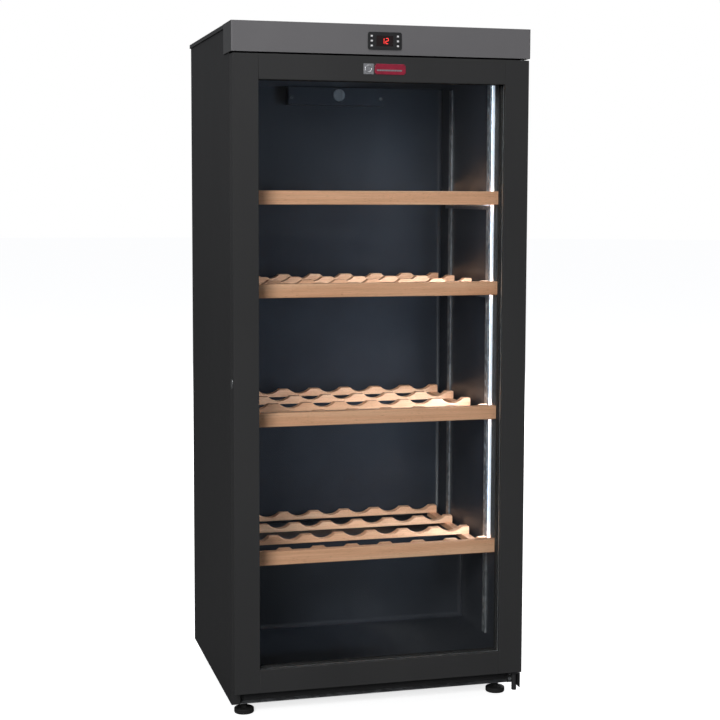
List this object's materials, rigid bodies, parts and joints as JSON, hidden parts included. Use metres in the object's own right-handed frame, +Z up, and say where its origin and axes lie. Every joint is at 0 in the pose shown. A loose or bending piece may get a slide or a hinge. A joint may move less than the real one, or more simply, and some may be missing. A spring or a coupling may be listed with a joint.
{
  "type": "wine cooler",
  "caption": "Tall free-standing wine cooler with a framed glass door, beech bottle shelves, a control fascia, a side lock and a rear condenser.",
  "frame": {"origin": "on the floor under the middle of the cabinet's overall box", "axes": "+X to the right seen from the front, +Y to the back, +Z up; the door faces -Y"},
  "size_m": [0.71, 0.637, 1.608],
  "materials": {
    "cabinet_steel": "satin",
    "door_paint": "satin",
    "fascia_grey": "satin",
    "cover_charcoal": "satin",
    "liner": "satin",
    "foam": "matte",
    "zinc_steel": "satin",
    "black_plastic": "satin",
    "clear_window": "gloss",
    "key_white": "satin",
    "circuit_board": "satin",
    "glass": "gloss",
    "aluminium": "satin",
    "black_rubber": "matte",
    "opal": "satin",
    "beech": "satin",
    "black_coat": "satin",
    "copper": "satin",
    "chrome": "polished",
    "badge": "gloss"
  },
  "bodies": {
    "cabinet": {"side_panel_left": "cabinet_steel", "side_panel_right": "cabinet_steel", "roof_panel": "zinc_steel", "rear_panel": "zinc_steel", "compressor_bay_panel": "zinc_steel", "front_plinth": "cabinet_steel", "base_plate": "zinc_steel", "inner_liner": "liner", "evaporator_plate": "aluminium", "insulation_foam": "foam", "top_cover": "cover_charcoal", "control_fascia": "fascia_grey", "controller_case": "black_plastic", "display_window": "clear_window", "control_board": "circuit_board", "hinge_bracket_lower": "cabinet_steel", "hinge_bracket_upper": "zinc_steel", "shelf_uprights": "zinc_steel", "shelf_runners": "zinc_steel", "light_housing": "aluminium", "light_diffuser": "opal", "air_duct_cover": "liner", "fan_motor": "black_plastic", "compressor": "black_coat", "compressor_grommets": "black_rubber", "condenser_coil": "black_coat", "refrigerant_pipes": "copper", "drain_pan": "black_plastic", "power_inlet": "black_plastic", "screws": "zinc_steel", "rear_feet": "black_rubber"},
    "door": {"door_stile_left": "door_paint", "door_stile_right": "door_paint", "door_rail_top": "door_paint", "door_rail_bottom": "door_paint", "door_glass_panes": "glass", "glass_spacer": "aluminium", "door_gasket": "black_rubber", "lock_barrel": "chrome", "door_badge": "badge", "hinge_bushes": "black_plastic"},
    "lock": {"lock_plug": "chrome"},
    "shelf_1": {"shelf_1_board": "beech", "shelf_1_frame": "beech"},
    "shelf_2": {"shelf_2_board": "beech", "shelf_2_frame": "beech"},
    "shelf_3": {"shelf_3_board": "beech", "shelf_3_frame": "beech"},
    "shelf_4": {"shelf_4_board": "beech", "shelf_4_frame": "beech"},
    "button_left_1": {"button_left_1": "key_white"},
    "button_left_2": {"button_left_2": "key_white"},
    "button_left_3": {"button_left_3": "key_white"},
    "button_right_1": {"button_right_1": "key_white"},
    "button_right_2": {"button_right_2": "key_white"},
    "button_right_3": {"button_right_3": "key_white"},
    "fan": {"fan_rotor": "black_plastic"},
    "filter": {"charcoal_filter": "black_plastic"},
    "foot_left": {"levelling_foot_left": "black_rubber"},
    "foot_right": {"levelling_foot_right": "black_rubber"}
  },
  "joints": [
    {"name": "door_hinge", "type": "hinge", "parent": "cabinet", "child": "door", "pos_m": [0.34, -0.2965, 0.8], "axis": [0, 0, 1], "range_deg": [0, 120]},
    {"name": "lock_turn", "type": "hinge", "parent": "door", "child": "lock", "pos_m": [-0.352, -0.2965, 0.791], "axis": [-1, 0, 0], "range_deg": [0, 90]},
    {"name": "shelf_1_slide", "type": "slide", "parent": "cabinet", "child": "shelf_1", "axis": [0, -1, 0], "range_m": [0, 0.113]},
    {"name": "shelf_2_slide", "type": "slide", "parent": "cabinet", "child": "shelf_2", "axis": [0, -1, 0], "range_m": [0, 0.113]},
    {"name": "shelf_3_slide", "type": "slide", "parent": "cabinet", "child": "shelf_3", "axis": [0, -1, 0], "range_m": [0, 0.113]},
    {"name": "shelf_4_slide", "type": "slide", "parent": "cabinet", "child": "shelf_4", "axis": [0, -1, 0], "range_m": [0, 0.113]},
    {"name": "button_left_1_press", "type": "slide", "parent": "cabinet", "child": "button_left_1", "axis": [0, 1, 0], "range_m": [0, 0.0008], "stiffness_N_per_m": 600, "springref_m": -0.0003},
    {"name": "button_left_2_press", "type": "slide", "parent": "cabinet", "child": "button_left_2", "axis": [0, 1, 0], "range_m": [0, 0.0008], "stiffness_N_per_m": 600, "springref_m": -0.0003},
    {"name": "button_left_3_press", "type": "slide", "parent": "cabinet", "child": "button_left_3", "axis": [0, 1, 0], "range_m": [0, 0.0008], "stiffness_N_per_m": 600, "springref_m": -0.0003},
    {"name": "button_right_1_press", "type": "slide", "parent": "cabinet", "child": "button_right_1", "axis": [0, 1, 0], "range_m": [0, 0.0008], "stiffness_N_per_m": 600, "springref_m": -0.0003},
    {"name": "button_right_2_press", "type": "slide", "parent": "cabinet", "child": "button_right_2", "axis": [0, 1, 0], "range_m": [0, 0.0008], "stiffness_N_per_m": 600, "springref_m": -0.0003},
    {"name": "button_right_3_press", "type": "slide", "parent": "cabinet", "child": "button_right_3", "axis": [0, 1, 0], "range_m": [0, 0.0008], "stiffness_N_per_m": 600, "springref_m": -0.0003},
    {"name": "fan_spin", "type": "hinge", "parent": "cabinet", "child": "fan", "pos_m": [0.025, 0.2275, 1.4812], "axis": [0, 1, 0], "continuous": true},
    {"name": "filter_turn", "type": "hinge", "parent": "cabinet", "child": "filter", "pos_m": [0.025, 0.2075, 1.4812], "axis": [0, 1, 0], "range_deg": [0, 90]},
    {"name": "foot_left_thread", "type": "slide", "parent": "cabinet", "child": "foot_left", "axis": [0, 0, -1], "range_m": [0, 0.015]},
    {"name": "foot_right_thread", "type": "slide", "parent": "cabinet", "child": "foot_right", "axis": [0, 0, -1], "range_m": [0, 0.015]}
  ],
  "couplings": [
    {"joint": "shelf_1_slide", "follows": "door_hinge", "m_per_rad": 0.05385},
    {"joint": "shelf_2_slide", "follows": "door_hinge", "m_per_rad": 0.05385},
    {"joint": "shelf_3_slide", "follows": "door_hinge", "m_per_rad": 0.05385},
    {"joint": "shelf_4_slide", "follows": "door_hinge", "m_per_rad": 0.05385}
  ]
}
